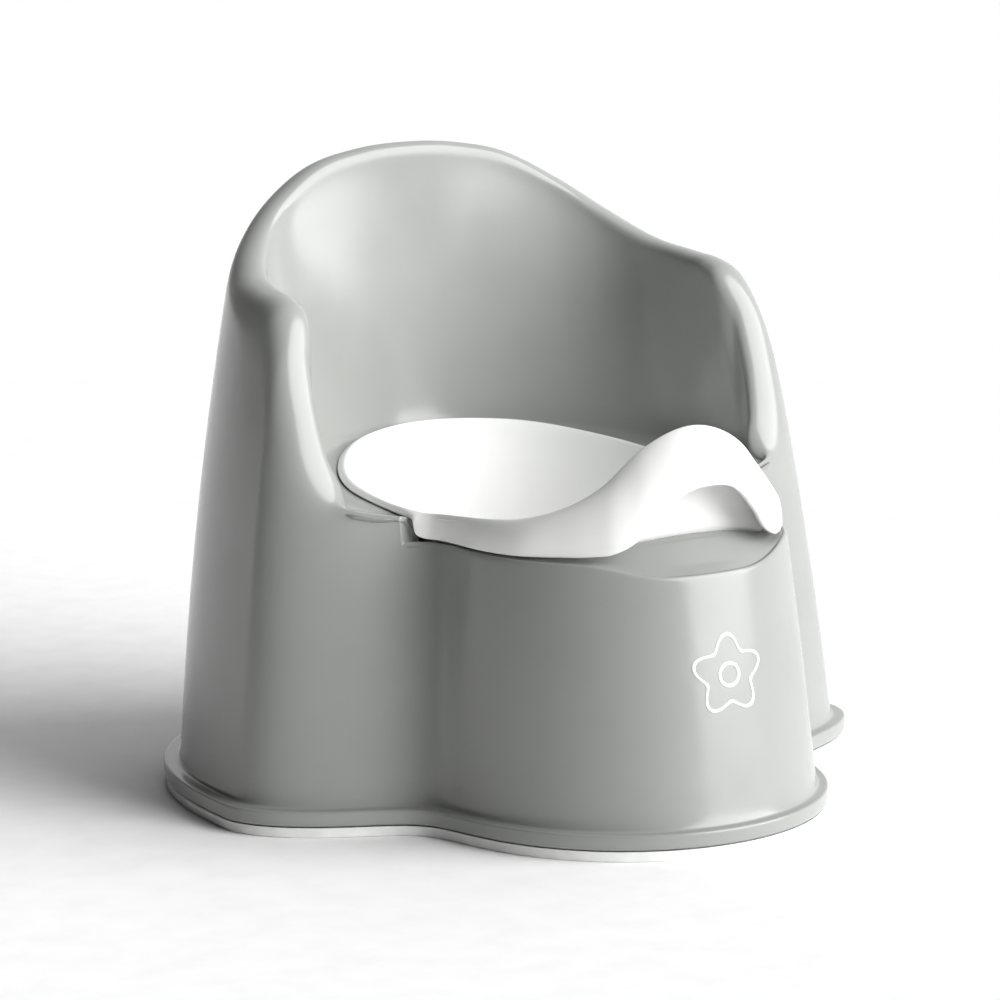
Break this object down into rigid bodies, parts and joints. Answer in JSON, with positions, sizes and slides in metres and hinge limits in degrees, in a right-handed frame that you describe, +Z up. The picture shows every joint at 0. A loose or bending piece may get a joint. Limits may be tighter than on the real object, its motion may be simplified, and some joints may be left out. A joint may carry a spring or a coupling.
{
  "type": "potty training chair",
  "caption": "Low moulded potty training chair with a high back, wrap-around arms and a lift-out potty with a splash guard.",
  "frame": {"origin": "on the floor, under the middle of the chair's bounding box", "axes": "+Z up, the chair's front towards -Y, +X to the sitter's left"},
  "size_m": [0.35, 0.325, 0.2916],
  "materials": {
    "shell_plastic": "grey polypropylene, gloss moulded",
    "potty_plastic": "white polypropylene, gloss moulded",
    "strip_rubber": "white thermoplastic elastomer, satin"
  },
  "bodies": {
    "chair": {"chair_shell": "shell_plastic", "anti_slip_strip": "strip_rubber"},
    "potty": {"inner_potty": "potty_plastic", "splash_guard": "potty_plastic"}
  },
  "joints": [
    {"name": "potty_lift", "type": "slide", "parent": "chair", "child": "potty", "axis": [0, 0, 1], "range_m": [0, 0.26]}
  ]
}
